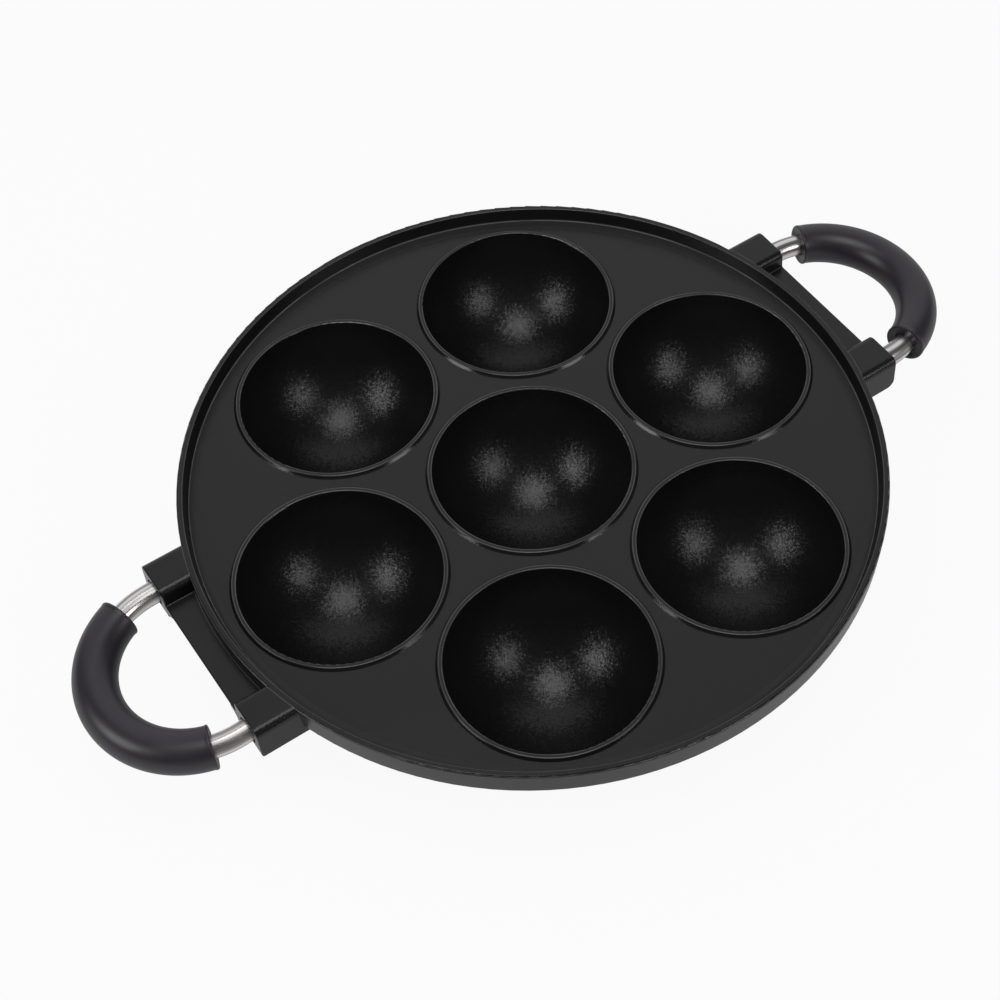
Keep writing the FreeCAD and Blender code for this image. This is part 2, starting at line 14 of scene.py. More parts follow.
import bpy
import numpy as np
from mathutils import Matrix, Vector

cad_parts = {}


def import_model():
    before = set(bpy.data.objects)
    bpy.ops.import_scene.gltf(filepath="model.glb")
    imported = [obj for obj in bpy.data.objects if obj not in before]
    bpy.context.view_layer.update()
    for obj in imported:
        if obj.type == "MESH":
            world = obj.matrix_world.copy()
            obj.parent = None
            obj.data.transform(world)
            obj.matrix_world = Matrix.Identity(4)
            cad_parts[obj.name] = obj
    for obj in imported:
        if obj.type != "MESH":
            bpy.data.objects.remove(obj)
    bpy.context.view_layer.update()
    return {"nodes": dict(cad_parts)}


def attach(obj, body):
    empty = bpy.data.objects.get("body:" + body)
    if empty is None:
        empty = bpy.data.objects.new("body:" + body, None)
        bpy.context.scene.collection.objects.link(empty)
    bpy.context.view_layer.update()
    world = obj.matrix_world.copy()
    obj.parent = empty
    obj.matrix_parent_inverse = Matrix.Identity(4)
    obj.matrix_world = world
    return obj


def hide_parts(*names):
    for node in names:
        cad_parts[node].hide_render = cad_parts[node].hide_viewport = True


LOG = logging.getLogger("takoyaki_pan")
MM = 0.001
WHITE = (1.0, 1.0, 1.0)
CLOUD_SPAN = (0.3, 0.7)  # The part of a noise's range that its values mostly fill.


class Side(Enum):
    """The two ends of the handle axis."""

    LEFT = -1
    RIGHT = 1

    @property
    def word(self) -> str:
        """Side as the node names spell it."""
        return self.name.lower()


class RodEnd(Enum):
    """The two shanks of one rod."""

    FRONT = -1
    REAR = 1

    @property
    def word(self) -> str:
        """Shank as the node names spell it."""
        return self.name.lower()


# ----------------------------------------------------------------------------
# Node trees


class ShaderSheet:
    """The node tree of a material or a world, written with short calls.

    Args:
        owner: Material or world, whose nodes are cleared.
    """

    def __init__(self, owner: bpy.types.ID) -> None:
        """Turns the owner's nodes on and clears them."""
        owner.use_nodes = True
        self.owner = owner
        self.tree = owner.node_tree
        self.tree.nodes.clear()

    @classmethod
    def of_material(cls, name: str) -> "ShaderSheet":
        """Sheet of a new material with this name."""
        return cls(bpy.data.materials.new(name))

    def add(self, kind: str, links: Optional[dict] = None, **settings: object) -> bpy.types.Node:
        """Adds a node.

        Args:
            kind: Blender's class name for the node, without its "ShaderNode".
            links: Input name or number to a value, or to the output socket that feeds it.
            **settings: Attributes of the node itself.

        Returns:
            The new node.
        """
        node = self.tree.nodes.new("ShaderNode" + kind)
        for key, value in settings.items():
            setattr(node, key, value)
        for key, value in (links or {}).items():
            if isinstance(value, bpy.types.NodeSocket):
                self.tree.links.new(value, node.inputs[key])
            else:
                node.inputs[key].default_value = value
        return node

    def noise(self, coordinates: bpy.types.NodeSocket, scale: float, detail: float = 2.0,
              roughness: float = 0.5) -> bpy.types.NodeSocket:
        """Noise from 0 to 1 with about `scale` features per metre."""
        node = self.add("TexNoise", {"Vector": coordinates, "Scale": scale, "Detail": detail,
                                     "Roughness": roughness})
        return node.outputs["Fac"]

    def remap(self, value: bpy.types.NodeSocket, low: float, high: float, start: float = 0.0,
              end: float = 1.0, curve: str = "LINEAR") -> bpy.types.NodeSocket:
        """Maps start..end of a value to low..high, clamped, on a straight or a smooth curve."""
        node = self.add("MapRange", {"Value": value, "From Min": start, "From Max": end, "To Min": low,
                                     "To Max": high}, interpolation_type=curve)
        return node.outputs["Result"]

    def math(self, operation: str, first: object, second: object) -> bpy.types.NodeSocket:
        """One operation of arithmetic on two values."""
        return self.add("Math", {0: first, 1: second}, operation=operation).outputs[0]

    def near(self, value: bpy.types.NodeSocket, middle: float, reach: float,
             peak: float = 1.0) -> bpy.types.NodeSocket:
        """Highest at `peak` where a value is `middle`, falling to 0 at `reach` on either side."""
        away = self.math("ABSOLUTE", self.math("SUBTRACT", value, middle), 0.0)
        return self.remap(away, peak, 0.0, 0.0, reach)

    def product(self, first: object, *others: object) -> bpy.types.NodeSocket:
        """All the values multiplied."""
        for other in others:
            first = self.math("MULTIPLY", first, other)
        return first

    def largest(self, first: object, *others: object) -> bpy.types.NodeSocket:
        """Largest of the values."""
        for other in others:
            first = self.math("MAXIMUM", first, other)
        return first

    def length(self, x: bpy.types.NodeSocket, y: bpy.types.NodeSocket) -> bpy.types.NodeSocket:
        """Length of a flat vector, sqrt(x^2 + y^2)."""
        return self.math("SQRT", self.math("ADD", self.product(x, x), self.product(y, y)), 0.0)

    def vector(self, operation: str, first: object, second: object) -> bpy.types.NodeSocket:
        """One operation of arithmetic on two vectors."""
        return self.add("VectorMath", {0: first, 1: second}, operation=operation).outputs["Vector"]

    def bump(self, height: bpy.types.NodeSocket, depth: float,
             below: Optional[bpy.types.NodeSocket] = None, strength: object = 1.0) -> bpy.types.NodeSocket:
        """Bump of a 0..1 height, `depth` metres deep at full strength, over an optional coarser one."""
        links = {"Height": height, "Distance": depth, "Strength": strength}
        if below is not None:
            links["Normal"] = below
        return self.add("Bump", links).outputs["Normal"]

    def mix(self, factor: bpy.types.NodeSocket, first: object, second: object) -> bpy.types.NodeSocket:
        """Colour between two, each a linear colour or a socket."""
        ends = [(*end, 1.0) if isinstance(end, tuple) else end for end in (first, second)]
        node = self.add("Mix", {"Factor": factor, "A": ends[0], "B": ends[1]}, data_type="RGBA")
        return node.outputs["Result"]

    def finish(self, shader: bpy.types.Node, output: str = "OutputMaterial") -> bpy.types.ID:
        """Connects the last shader to the output and gives the material or world."""
        self.add(output, {"Surface": shader.outputs[0]})
        return self.owner


# ----------------------------------------------------------------------------
# Finishes


@dataclass(frozen=True)
class NonstickCoat:
    """Black non-stick coat on cast aluminium: satin faces, pebbled wells and painted highlights along the
    edges and creases.

    A ring is the middle and the reach of a distance from an axis.  A band is the middle and the reach of a
    level above the pan's floor.
    """

    name: str = "nonstick_coat"
    dark: tuple = (0.0054, 0.0049, 0.0051)
    light: tuple = (0.0074, 0.0068, 0.0071)
    # Pale colour of the painted highlight lines along the lips, the rim and the creases.
    painted_highlight_colour: tuple = (0.160, 0.156, 0.160)
    specular: float = 0.42
    roughness: tuple = (0.22, 0.27)
    clouds_per_m: float = 35.0
    patches_per_m: float = 70.0
    patch_share: tuple = (0.55, 1.0)
    patch_span: tuple = (0.35, 0.60)

    pebbles_per_m: float = 2200.0
    pebble_slope: float = 0.08
    pebble_tilt: float = 0.16
    face_share: float = 0.12
    lip_pebbles: float = 0.2

    well_count: int = 6
    well_pitch: float = 69.75 * MM
    well_radius: float = 31.15 * MM
    floor_level: float = 34.0 * MM
    fade: float = 0.2 * MM

    # The lip, rim, crease and web peaks below set how strongly each painted highlight line shows.
    lip_foot: float = 0.05 * MM
    lip_brow: float = 1.0 * MM
    lips_reach: float = 103.60 * MM
    lip_polish: float = 0.62
    lip_rings: tuple = ((31.40 * MM, 0.22 * MM), (32.40 * MM, 0.22 * MM))
    lip_band: tuple = (0.8 * MM, 0.5 * MM)
    lip_highlight_peak: float = 0.60
    rim_rings: tuple = ((108.25 * MM, 0.18 * MM), (109.95 * MM, 0.20 * MM))
    rim_climb: tuple = (4.3 * MM, 4.6 * MM)
    rim_highlight_peak: float = 0.42
    crease_ring: tuple = (106.92 * MM, 0.17 * MM)
    crease_band: tuple = (0.6 * MM, 0.6 * MM)
    crease_highlight_peak: float = 1.0
    web_ring: tuple = (110.25 * MM, 0.28 * MM)
    web_band: tuple = (-1.0 * MM, 0.4 * MM)
    web_highlight_peak: float = 0.42
    edge_polish: float = 0.55
    border_ring: tuple = (106.90 * MM, 3.00 * MM)
    border_band: tuple = (0.3 * MM, 0.9 * MM)
    border_dulling: float = 3.2

    def pan_reach(self, sheet: ShaderSheet, where: bpy.types.NodeSocket) -> tuple:
        """Level above the pan's floor, and distances from the pan's axis and from the nearest well's axis.

        The plan turns into one sector by a' = wrap(a, 180 / n degrees either way); there the nearest outer
        well is at (pitch, 0), and the last distance is min(|p|, |p - (pitch, 0)|).

        Args:
            sheet: Sheet that the nodes go on.
            where: Place on the casting, in its own coordinates.

        Returns:
            The three sockets, in metres.
        """
        place = sheet.add("SeparateXYZ", {0: where})
        x, y = place.outputs["X"], place.outputs["Y"]
        level = sheet.math("SUBTRACT", place.outputs["Z"], self.floor_level)
        reach = sheet.length(x, y)
        half = math.pi / self.well_count
        angle = sheet.math("ARCTAN2", y, x)
        wrap = sheet.add("Math", {0: angle, 1: half, 2: -half}, operation="WRAP").outputs[0]
        along = sheet.product(reach, sheet.math("COSINE", wrap, 0.0))
        along = sheet.math("SUBTRACT", along, self.well_pitch)
        across = sheet.product(reach, sheet.math("SINE", wrap, 0.0))
        well = sheet.math("MINIMUM", reach, sheet.length(along, across))
        return level, reach, well

    def on_lips(self, sheet: ShaderSheet, level: bpy.types.NodeSocket,
                reach: bpy.types.NodeSocket) -> bpy.types.NodeSocket:
        """1 on the wells' lips, which are turned smooth, and 0 elsewhere, told apart by level and reach."""
        return sheet.product(
            sheet.remap(level, 0.0, 1.0, self.lip_foot, self.lip_foot + self.fade),
            sheet.remap(level, 1.0, 0.0, self.lip_brow, self.lip_brow + self.fade),
            sheet.remap(reach, 1.0, 0.0, self.lips_reach, self.lips_reach + self.fade),
        )

    def painted_edge_highlights(self, sheet: ShaderSheet, level: bpy.types.NodeSocket, reach: bpy.types.NodeSocket,
                  well: bpy.types.NodeSocket) -> bpy.types.NodeSocket:
        """Painted highlight lines in a pale colour: along the edges of the lips and the rim, and the creases
        of the tray and the webs.

        Args:
            sheet: Sheet that the nodes go on.
            level: Level above the pan's floor.
            reach: Distance from the pan's axis.
            well: Distance from the nearest well's axis.

        Returns:
            The largest of the four painted highlight lines, from 0 to 1.
        """
        lips = sheet.largest(*[sheet.near(well, *ring) for ring in self.lip_rings])
        rim = sheet.largest(*[sheet.near(reach, *ring) for ring in self.rim_rings])
        return sheet.largest(
            sheet.product(sheet.near(level, *self.lip_band, self.lip_highlight_peak), lips),
            sheet.product(sheet.remap(level, 0.0, self.rim_highlight_peak, *self.rim_climb), rim),
            sheet.product(sheet.near(level, *self.crease_band, self.crease_highlight_peak),
                          sheet.near(reach, *self.crease_ring)),
            sheet.product(sheet.near(level, *self.web_band, self.web_highlight_peak),
                          sheet.near(reach, *self.web_ring)),
        )

    def pebbles(self, sheet: ShaderSheet, where: bpy.types.NodeSocket, well: bpy.types.NodeSocket,
                lips: bpy.types.NodeSocket) -> bpy.types.NodeSocket:
        """Normal of the pebbled coat.

        Every pebble is the cell of one scattered point.  It has a tilt of its own, n = |N + tilt (r - 1/2)|
        with r random for the cell, and sides that slope down from its middle.  The tilt is whole inside the
        wells, and a small share of that elsewhere; the smooth lips keep little of either.

        Args:
            sheet: Sheet that the nodes go on.
            where: Place on the casting, in its own coordinates.
            well: Distance from the nearest well's axis.
            lips: 1 on the wells' lips and 0 elsewhere.

        Returns:
            The normal's socket.
        """
        cells = sheet.add("TexVoronoi", {"Vector": where, "Scale": self.pebbles_per_m}, feature="F1")
        inside = sheet.remap(well, 1.0, 0.0, self.well_radius, self.well_radius + self.fade)
        left = sheet.remap(lips, 1.0, self.lip_pebbles)
        tilt = sheet.product(sheet.remap(inside, self.face_share, 1.0), left)
        own = sheet.vector("SUBTRACT", cells.outputs["Color"], (0.5, 0.5, 0.5))
        own = sheet.vector("MULTIPLY", own, (self.pebble_tilt,) * 3)
        own = sheet.add("VectorMath", {0: own, "Scale": tilt}, operation="SCALE").outputs["Vector"]
        tilted = sheet.vector("ADD", sheet.add("NewGeometry").outputs["Normal"], own)
        tilted = sheet.vector("NORMALIZE", tilted, (0.0, 0.0, 0.0))
        return sheet.bump(cells.outputs["Distance"], -self.pebble_slope / self.pebbles_per_m, tilted, left)

    def material(self) -> bpy.types.Material:
        """Pebbled coat with faint clouds, painted highlight lines along edges and creases, and a duller
        border of the floor.

        Returns:
            The material.
        """
        sheet = ShaderSheet.of_material(self.name)
        where = sheet.add("TexCoord").outputs["Object"]
        level, reach, well = self.pan_reach(sheet, where)
        lips = self.on_lips(sheet, level, reach)
        clouds = sheet.noise(where, self.clouds_per_m, detail=4.0)
        patches = sheet.noise(where, self.patches_per_m, detail=3.0)
        patches = sheet.remap(patches, *self.patch_share, *self.patch_span)
        # Painted highlight: thin pale lines along the lips, the rim and the creases, broken up by patches.
        painted_highlight_share = sheet.product(self.painted_edge_highlights(sheet, level, reach, well), patches)
        unwiped = sheet.product(sheet.near(level, *self.border_band), sheet.near(reach, *self.border_ring))
        coat = sheet.mix(clouds, self.dark, self.light)
        shader = sheet.add("BsdfPrincipled", {
            "Base Color": sheet.mix(painted_highlight_share, coat, self.painted_highlight_colour),
            "Roughness": sheet.product(
                sheet.remap(clouds, *self.roughness, *CLOUD_SPAN),
                sheet.remap(painted_highlight_share, 1.0, self.edge_polish, end=self.rim_highlight_peak),
                sheet.remap(lips, 1.0, self.lip_polish),
                sheet.remap(unwiped, 1.0, self.border_dulling),
            ),
            "Specular IOR Level": self.specular,
            "Normal": self.pebbles(sheet, where, well, lips),
        })
        return sheet.finish(shader)


@dataclass(frozen=True)
class BrushedRod:
    """Stainless bar, drawn through a die, which leaves long bands, brushed along its length, with painted
    reflection stripes round it.
    """

    name: str = "brushed_rod"
    # bright and dull are the ends of the painted reflection stripes as well as of the die bands and lines.
    bright: tuple = (0.93, 0.90, 0.875)
    dull: tuple = (0.16, 0.152, 0.146)
    roughness: tuple = (0.38, 0.26)
    # Painted reflection stripes: their count round the bar, their share of the shade and the span of the
    # cosine.
    reflection_waves_round: int = 8
    reflection_wave_share: float = 0.62
    reflection_wave_span: tuple = (-0.7, 0.5)
    band_scale: tuple = (16.0, 0.35, 1.0)
    band_share: float = 0.25
    band_span: tuple = (0.38, 0.62)
    band_depth: float = 0.10 * MM
    line_scale: tuple = (60.0, 1.5, 1.0)
    line_share: float = 0.25
    line_span: tuple = (0.36, 0.62)
    line_depth: float = 0.010 * MM

    def material(self) -> bpy.types.Material:
        """Metal with painted reflection stripes, die bands and fine lines, all running along the bar.

        The shade is a cosine round the bar, which paints reflection stripes that are light on top and at
        every eighth of a turn from it, plus two noises, which are squeezed round it and stretched along it.

        Returns:
            The material.
        """
        sheet = ShaderSheet.of_material(self.name)
        uv = sheet.add("TexCoord").outputs["UV"]
        fine = sheet.add("Mapping", {"Vector": uv, "Scale": self.line_scale}).outputs["Vector"]
        broad = sheet.add("Mapping", {"Vector": uv, "Scale": self.band_scale}).outputs["Vector"]
        lines = sheet.noise(fine, scale=1.0, roughness=0.6)
        bands = sheet.noise(broad, scale=1.0, detail=1.0)
        round_bar = sheet.add("SeparateXYZ", {0: uv}).outputs["X"]
        # Painted reflection: light and dark stripes at fixed turns round the bar, light on top and at every
        # eighth of a turn from it.
        turn = sheet.product(round_bar, 2 * math.pi * self.reflection_waves_round)
        painted_reflection_waves = sheet.math("COSINE", turn, 0.0)
        shade = sheet.math("ADD", sheet.remap(painted_reflection_waves, 0.0, self.reflection_wave_share, *self.reflection_wave_span),
                           sheet.remap(bands, 0.0, self.band_share, *self.band_span))
        shade = sheet.math("ADD", shade, sheet.remap(lines, 0.0, self.line_share, *self.line_span))
        shader = sheet.add("BsdfPrincipled", {
            "Base Color": sheet.mix(shade, self.dull, self.bright),
            "Metallic": 1.0,
            "Roughness": sheet.remap(shade, *self.roughness),
            "Normal": sheet.bump(lines, self.line_depth, sheet.bump(bands, self.band_depth)),
        })
        return sheet.finish(shader)


@dataclass(frozen=True)
class SoftTouchRubber:
    """Moulded black silicone with a matte, slightly dusty skin."""

    name: str = "soft_touch_rubber"
    dark: tuple = (0.0130, 0.0104, 0.0144)
    light: tuple = (0.0175, 0.0143, 0.0192)
    specular: float = 0.62
    roughness: tuple = (0.36, 0.43)
    dust_per_m: float = 90.0
    pebbles_per_m: float = 1800.0
    pebble_depth: float = 0.012 * MM

    def material(self) -> bpy.types.Material:
        """Matte rubber with a fine pebble bump.

        Returns:
            The material.
        """
        sheet = ShaderSheet.of_material(self.name)
        where = sheet.add("TexCoord").outputs["Object"]
        dust = sheet.noise(where, self.dust_per_m, detail=3.0)
        shader = sheet.add("BsdfPrincipled", {
            "Base Color": sheet.mix(dust, self.dark, self.light),
            "Roughness": sheet.remap(dust, *self.roughness, *CLOUD_SPAN),
            "Specular IOR Level": self.specular,
            "Normal": sheet.bump(sheet.noise(where, self.pebbles_per_m), self.pebble_depth),
        })
        return sheet.finish(shader)


@dataclass(frozen=True)
class SpringSteel:
    """Plain rolled spring steel, a little scuffed."""

    name: str = "spring_steel"
    dull: tuple = (0.34, 0.34, 0.35)
    bright: tuple = (0.46, 0.46, 0.47)
    roughness: tuple = (0.28, 0.46)
    scuffs_per_m: float = 900.0
    scuff_depth: float = 0.01 * MM

    def material(self) -> bpy.types.Material:
        """Grey metal with uneven roughness.

        Returns:
            The material.
        """
        sheet = ShaderSheet.of_material(self.name)
        where = sheet.add("TexCoord").outputs["Object"]
        scuff = sheet.noise(where, self.scuffs_per_m, detail=3.0)
        shader = sheet.add("BsdfPrincipled", {
            "Base Color": sheet.mix(scuff, self.dull, self.bright),
            "Metallic": 1.0,
            "Roughness": sheet.remap(scuff, *self.roughness, *CLOUD_SPAN),
            "Normal": sheet.bump(scuff, self.scuff_depth),
        })
        return sheet.finish(shader)


# ----------------------------------------------------------------------------
# Meshes


def grid_mesh(name: str, points: np.ndarray, uv: np.ndarray) -> bpy.types.Object:
    """Object made of one grid of points, closed round its second direction.

    Face (i, j) joins points (i, j), (i + 1, j), (i + 1, j + 1) and (i, j + 1), with j + 1 counted round.

    Args:
        name: Name of the object and its mesh.
        points: Array of rows by columns by 3, in metres.
        uv: Array of rows by (columns + 1) by 2, so that the last column of faces doesn't fold back.

    Returns:
        The linked object.
    """
    rows, columns = points.shape[:2]
    i, j = np.meshgrid(np.arange(rows - 1), np.arange(columns), indexing="ij")
    after = (j + 1) % columns
    row, below = i * columns, (i + 1) * columns
    corners = np.stack([row + j, below + j, below + after, row + after], -1)
    mesh = bpy.data.meshes.new(name)
    mesh.from_pydata(points.reshape(-1, 3), [], corners.reshape(-1, 4))
    layer = mesh.uv_layers.new(name="along")
    loops = np.stack([uv[i, j], uv[i + 1, j], uv[i + 1, j + 1], uv[i, j + 1]], 2)
    layer.data.foreach_set("uv", loops.astype(np.float32).ravel())
    mesh.polygons.foreach_set("use_smooth", np.ones(len(mesh.polygons), dtype=bool))
    mesh.validate()
    obj = bpy.data.objects.new(name, mesh)
    bpy.context.scene.collection.objects.link(obj)
    return obj


def dress(obj: bpy.types.Object, material: bpy.types.Material) -> None:
    """Gives an object one material in all its slots."""
    if not obj.data.materials:
        obj.data.materials.append(material)
    for place in range(len(obj.data.materials)):
        obj.data.materials[place] = material


# ----------------------------------------------------------------------------
# The casting


@dataclass
class CastPan:
    """The one-piece casting, which keeps its CAD shape, and its coat."""

    coat: NonstickCoat
    node: str = "pan_body"

    def build(self, nodes: dict) -> None:
        """Dresses the casting.

        Args:
            nodes: CAD node name to object.
        """
        dress(nodes[self.node], self.coat.material())
        LOG.info("%s: coated casting", self.node)


# ----------------------------------------------------------------------------
# The handles


@dataclass
class BowPath:
    """Centre line of one bent rod: shank, half circle and shank, in one drooping plane.

    The path's own X axis runs outwards along the handle and its origin is level with the lugs' end faces.
    """

    side: Side
    spacing: float = 28.8 * MM
    shank_run: float = 2.4 * MM
    end_face: float = 117.8 * MM
    level: float = 32.2 * MM
    droop: float = math.radians(2.6)

    def frame(self) -> np.ndarray:
        """Rows of the path's own X, Y and Z axes in the pan's frame."""
        outward = self.side.value
        return np.array([
            [outward * math.cos(self.droop), 0.0, -math.sin(self.droop)],
            [0.0, float(outward), 0.0],
            [outward * math.sin(self.droop), 0.0, math.cos(self.droop)],
        ])

    def place(self, local: np.ndarray) -> np.ndarray:
        """Moves points from the path's own axes to the pan's frame."""
        origin = np.array([self.side.value * self.end_face, 0.0, self.level])
        return origin + local @ self.frame()

    def tube(self, angle: np.ndarray, radius: np.ndarray, turns: np.ndarray) -> np.ndarray:
        """Points of a tube round the half circle.

        Point (a, t) lies at bow angle a, at radius r(a) from the centre line, turned by t about it:
        ((run + (spacing + r cos t) cos a), (spacing + r cos t) sin a, r sin t).

        Args:
            angle: Bow angles from its middle, one per ring, in radians.
            radius: Tube radius of each ring.
            turns: Angles round the tube.

        Returns:
            Array of rings by turns by 3 in the pan's frame.
        """
        reach = self.spacing + radius[:, None] * np.cos(turns)[None, :]
        x = self.shank_run + reach * np.cos(angle)[:, None]
        y = reach * np.sin(angle)[:, None]
        z = radius[:, None] * np.sin(turns)[None, :]
        return self.place(np.stack([x, y, z], -1))


@dataclass
class LoopHandle:
    """One bent rod with its soft sleeve and its two spring pins."""

    side: Side
    rod_radius: float = 3.5 * MM
    rod_chamfer: float = 0.6 * MM
    shank_depth: float = 11.0 * MM
    sleeve_radius: float = 6.8 * MM
    sleeve_taper: float = 0.3 * MM
    sleeve_fit: float = 0.05 * MM
    sleeve_half_angle: float = math.radians(71.6)
    sleeve_slip: float = math.radians(2.0)
    lip_height: float = 0.15 * MM
    lip_angle: float = math.radians(2.5)
    lip_ramp: float = 0.4
    lip_edge: float = 0.5 * MM
    edge_rings: int = 8
    shank_rings: int = 24
    rings: int = 220
    turns: int = 96
    tip_radius: float = 0.001 * MM
    path: BowPath = field(init=False)

    def __post_init__(self) -> None:
        """Lays the handle's centre line on its side of the pan."""
        self.path = BowPath(self.side)

    def rod(self) -> bpy.types.Object:
        """Bent rod as one closed swept surface.

        The run s goes from the rear shank's tip, through the bow, to the front shank's tip.  On a shank the
        ring is flat across X; on the bow it stands across the circle at the angle s / spacing.

        Returns:
            The rod.
        """
        path = self.path
        half = math.pi / 2
        straight = path.shank_run + self.shank_depth
        past_bevel = np.linspace(2 * self.rod_chamfer, straight, self.shank_rings)
        lead = np.concatenate([[0.0, 0.0, self.rod_chamfer], past_bevel[:-1]])
        lead_radius = np.full(lead.shape, self.rod_radius)
        lead_radius[:2] = [self.tip_radius, self.rod_radius - self.rod_chamfer]
        turns = np.linspace(0.0, 2 * math.pi, self.turns, endpoint=False)
        angle = np.linspace(half, -half, self.rings)
        bow = path.tube(angle, np.full(angle.shape, self.rod_radius), turns)

        def shank(end: RodEnd) -> np.ndarray:
            """Rings of one straight shank, from its tip inwards to the bow."""
            x = np.repeat((lead - self.shank_depth)[:, None], self.turns, 1)
            y = end.value * (path.spacing + lead_radius[:, None] * np.cos(turns)[None, :])
            z = lead_radius[:, None] * np.sin(turns)[None, :]
            return path.place(np.stack([x, y, z], -1))

        points = np.concatenate([shank(RodEnd.REAR), bow, shank(RodEnd.FRONT)[::-1]])
        run = np.concatenate([lead, straight + path.spacing * (half - angle),
                              2 * straight + path.spacing * math.pi - lead[::-1]])
        across = np.linspace(0.0, 1.0, self.turns + 1)
        uv = np.stack(np.broadcast_arrays(across[None, :], (run / (math.pi * path.spacing))[:, None]), -1)
        return grid_mesh("rod_" + self.side.word, points, uv)

    def sleeve_profile(self) -> tuple[np.ndarray, np.ndarray]:
        """Closed outline of the sleeve's wall as bow angle and radius.

        Along the outside the radius is R - taper (a / A)^2, swollen by the lip within its angle of an end
        and rounded off there by a quarter circle; the inside is a plain bore.  The lip rises over its ramp
        on a smooth step, 3 t^2 - 2 t^3.

        Returns:
            Bow angles and radii, one per ring, from one end of the outside round to the same place again.
        """
        edge = self.lip_edge / self.path.spacing
        quarter = np.linspace(0.0, math.pi / 2, self.edge_rings + 1)
        inner_end = self.sleeve_half_angle - edge
        body = np.linspace(-inner_end, inner_end, self.rings)
        share = body / self.sleeve_half_angle
        past = np.abs(body) - (self.sleeve_half_angle - self.lip_angle)
        swell = np.clip(past / (self.lip_ramp * self.lip_angle), 0, 1)
        lip = self.lip_height * swell * swell * (3 - 2 * swell)
        outside = self.sleeve_radius - self.sleeve_taper * share ** 2 + lip
        round_radius = outside[-1] - self.lip_edge * (1 - np.cos(quarter[1:]))
        round_angle = inner_end + edge * np.sin(quarter[1:])
        bore = self.rod_radius + self.sleeve_fit
        back = np.linspace(self.sleeve_half_angle, -self.sleeve_half_angle, self.rings // 2)
        angle = np.concatenate([-round_angle[::-1], body, round_angle, back])
        radius = np.concatenate([round_radius[::-1], outside, round_radius, np.full(back.shape, bore)])
        return np.append(angle, angle[0]), np.append(radius, radius[0])

    def sleeve(self) -> bpy.types.Object:
        """Soft sleeve as one closed swept wall, from the outline in sleeve_profile.

        Returns:
            The sleeve.
        """
        angle, radius = self.sleeve_profile()
        turns = np.linspace(0.0, 2 * math.pi, self.turns, endpoint=False)
        slip = self.sleeve_slip if self.side is Side.LEFT else 0.0
        points = self.path.tube(angle + slip, radius, turns)
        across = np.linspace(0.0, 1.0, self.turns + 1)
        uv = np.stack(np.broadcast_arrays(across[None, :], angle[:, None]), -1)
        return grid_mesh("sleeve_" + self.side.word, points, uv)

    def build(self, nodes: dict, finishes: dict) -> None:
        """Builds and dresses the handle's pieces.

        Args:
            nodes: CAD node name to object.
            finishes: Material slot name to material.
        """
        for piece, node, slot in (
            (self.rod(), "handle_rod_" + self.side.word, "handle_steel"),
            (self.sleeve(), "grip_sleeve_" + self.side.word, "grip_rubber"),
        ):
            dress(piece, finishes[slot])
            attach(piece, "root")
            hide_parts(node)
            LOG.info("%s: %d faces, stands for %s", piece.name, len(piece.data.polygons), node)
        for end in RodEnd:
            pin = nodes["rod_pin_%s_%s" % (self.side.word, end.word)]
            dress(pin, finishes["pin_steel"])
            LOG.info("%s: dressed", pin.name)


# ----------------------------------------------------------------------------
# Studio


@dataclass(frozen=True)
class Softbox:
    """A square area lamp that faces the pan, placed in the camera's own heading."""

    name: str
    across: float
    toward_back: float
    height: float
    size: float
    watts: float


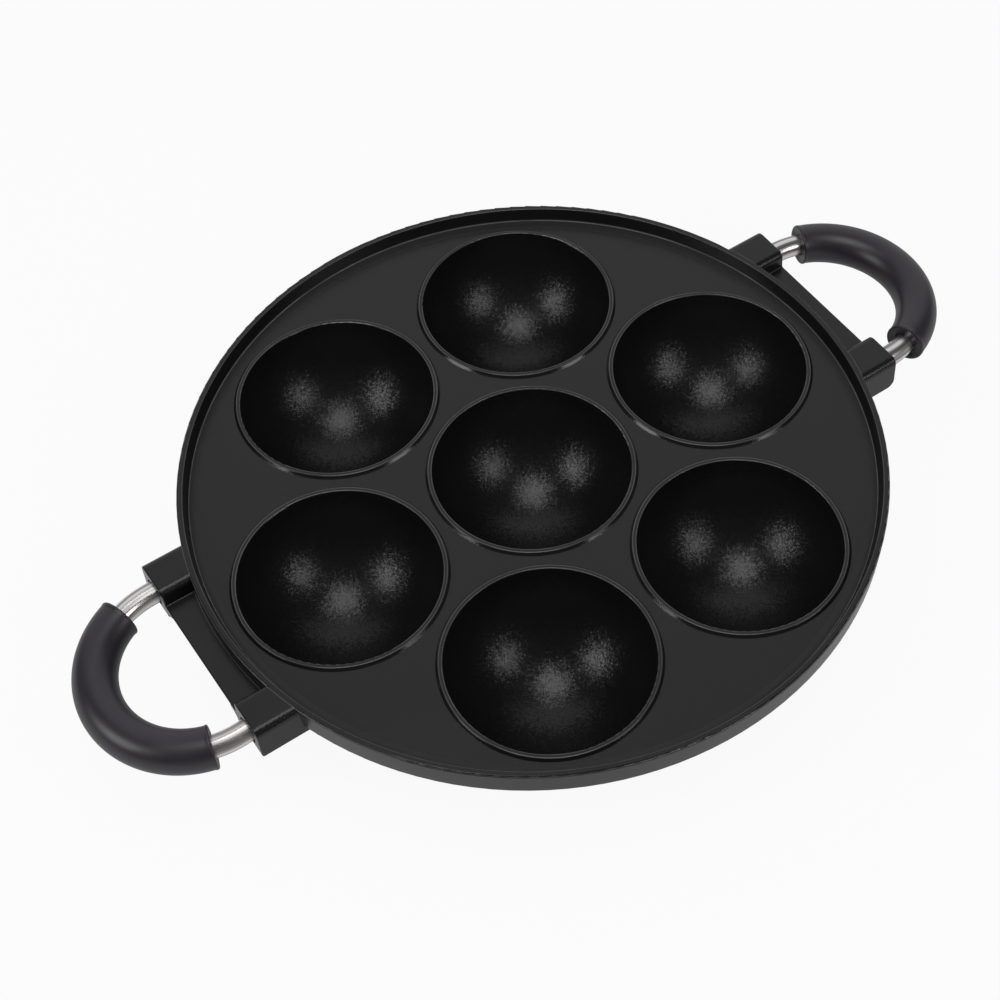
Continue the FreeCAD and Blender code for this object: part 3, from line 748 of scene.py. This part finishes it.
@dataclass
class Studio:
    """Camera, lamps, floor and surroundings."""

    floor_level: float
    unit: float = 110.0 * MM  # About the pan's radius: distances below are in units.
    azimuth: float = math.radians(-31.88)
    elevation: float = math.radians(53.924)
    roll: float = math.radians(-2.989)
    distance: float = 5.1007
    aim: tuple = (-0.0123, -0.1058)
    lens: float = 65.474
    sensor: float = 36.0
    shift: tuple = (-0.0290, -0.0016)
    clip: tuple = (0.01, 100.0)
    lamps: tuple = (
        Softbox("softbox_right", 6.70, -4.05, 4.48, 0.36, 1.55),
        Softbox("softbox_top", -0.21, -1.02, 6.87, 0.41, 1.62),
        Softbox("softbox_left", -6.61, -2.80, 4.04, 0.36, 1.85),
    )
    world_light: float = 0.50
    room_tint: tuple = (0.975, 0.965, 1.0)
    backdrop: tuple = (0.0, math.cos(math.radians(22.0)), math.sin(math.radians(22.0)))
    backdrop_glow: tuple = (0.08, 0.74)
    backdrop_edge: tuple = (0.55, 0.80)
    floor_half: float = 3.0
    floor_colour: tuple = (0.62, 0.62, 0.62)
    floor_glow: tuple = (0.93, 0.30)

    def heading(self, across: float, back: float, height: float) -> Vector:
        """Point given along the camera's right, away from the camera and up from the floor, in units."""
        turn = Matrix.Rotation(self.azimuth, 3, "Z")
        place = turn @ (Vector((across, back, height)) * self.unit)
        return place + Vector((0.0, 0.0, self.floor_level))

    def camera(self) -> None:
        """Camera that looks down at the pan from the left front."""
        across, back = self.aim
        aim = self.heading(across, back, 0.0)
        sight = self.heading(across, back - self.distance * math.cos(self.elevation),
                             self.distance * math.sin(self.elevation))
        data = bpy.data.cameras.new("camera")
        data.lens = self.lens
        data.sensor_width = self.sensor
        data.shift_x, data.shift_y = self.shift
        data.clip_start, data.clip_end = self.clip
        camera = bpy.data.objects.new("camera", data)
        facing = (aim - sight).to_track_quat("-Z", "Y").to_matrix()
        turned = facing @ Matrix.Rotation(self.roll, 3, "Z")
        camera.matrix_world = Matrix.Translation(sight) @ turned.to_4x4()
        bpy.context.scene.collection.objects.link(camera)
        bpy.context.scene.camera = camera

    def light(self) -> None:
        """Three softboxes aimed at the middle of the pan."""
        middle = Vector((0.0, 0.0, self.floor_level))
        for box in self.lamps:
            data = bpy.data.lights.new(box.name, "AREA")
            data.shape = "SQUARE"
            data.size = box.size
            data.energy = box.watts
            lamp = bpy.data.objects.new(box.name, data)
            place = self.heading(box.across, box.toward_back, box.height)
            facing = (middle - place).to_track_quat("-Z", "Y").to_matrix()
            lamp.matrix_world = Matrix.Translation(place) @ facing.to_4x4()
            bpy.context.scene.collection.objects.link(lamp)

    def surroundings(self) -> None:
        """World that lights softly, is white to the camera, and to gloss is a white backdrop in a dim room.

        With d the direction looked in and b that of the backdrop, the gloss sees a smooth step of d . b.
        """
        sheet = ShaderSheet(bpy.data.worlds.new("studio"))
        turn = Matrix.Rotation(self.azimuth, 3, "Z")
        looked = sheet.add("TexCoord").outputs["Generated"]
        toward = turn @ Vector(self.backdrop)
        along = sheet.add("VectorMath", {0: looked, 1: toward}, operation="DOT_PRODUCT").outputs["Value"]
        room = sheet.remap(along, *self.backdrop_glow, *self.backdrop_edge, curve="SMOOTHSTEP")
        path = sheet.add("LightPath")
        soft = sheet.add("Mix", {"Factor": path.outputs["Is Glossy Ray"], "A": self.world_light, "B": room})
        clear = sheet.math("MAXIMUM", path.outputs["Is Camera Ray"], path.outputs["Is Transmission Ray"])
        strength = sheet.add("Mix", {"Factor": clear, "A": soft.outputs["Result"], "B": 1.0})
        tint = sheet.mix(clear, self.room_tint, WHITE)
        glow = sheet.add("Background", {"Color": tint, "Strength": strength.outputs["Result"]})
        bpy.context.scene.world = sheet.finish(glow, "OutputWorld")

    def floor(self) -> None:
        """Pale floor that the pan stands on.

        The camera sees it nearly white, and gloss sees it greyer, like paper in the shade of the pan.
        """
        half = self.floor_half
        mesh = bpy.data.meshes.new("floor")
        mesh.from_pydata([(-half, -half, 0), (half, -half, 0), (half, half, 0), (-half, half, 0)], [],
                         [(0, 1, 2, 3)])
        floor = bpy.data.objects.new("floor", mesh)
        bpy.context.scene.collection.objects.link(floor)
        sheet = ShaderSheet.of_material("pale_floor")
        path = sheet.add("LightPath")
        direct = sheet.math("MULTIPLY", path.outputs["Is Camera Ray"], self.floor_glow[0])
        mirrored = sheet.math("MULTIPLY", path.outputs["Is Glossy Ray"], self.floor_glow[1])
        share = sheet.math("MAXIMUM", direct, mirrored)
        matte = sheet.add("BsdfDiffuse", {"Color": (*self.floor_colour, 1.0)})
        glow = sheet.add("Emission", {"Color": (*WHITE, 1.0), "Strength": 1.0})
        both = sheet.add("MixShader", {"Fac": share, 1: matte.outputs[0], 2: glow.outputs[0]})
        dress(floor, sheet.finish(both))

    def build(self) -> None:
        """Sets the scene up round the pan."""
        self.camera()
        self.light()
        self.surroundings()
        self.floor()
        bpy.context.scene.view_settings.view_transform = "Standard"


def main() -> None:
    """Builds the looks, in order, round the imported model."""
    logging.basicConfig(level=logging.INFO, format="%(name)s: %(message)s")
    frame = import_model()
    nodes = frame["nodes"]
    finishes = {
        "handle_steel": BrushedRod().material(),
        "grip_rubber": SoftTouchRubber().material(),
        "pin_steel": SpringSteel().material(),
    }
    coat = NonstickCoat()
    CastPan(coat).build(nodes)
    for side in Side:
        LoopHandle(side).build(nodes, finishes)
    Studio(floor_level=coat.floor_level).build()


if __name__ == "__main__":
    main()
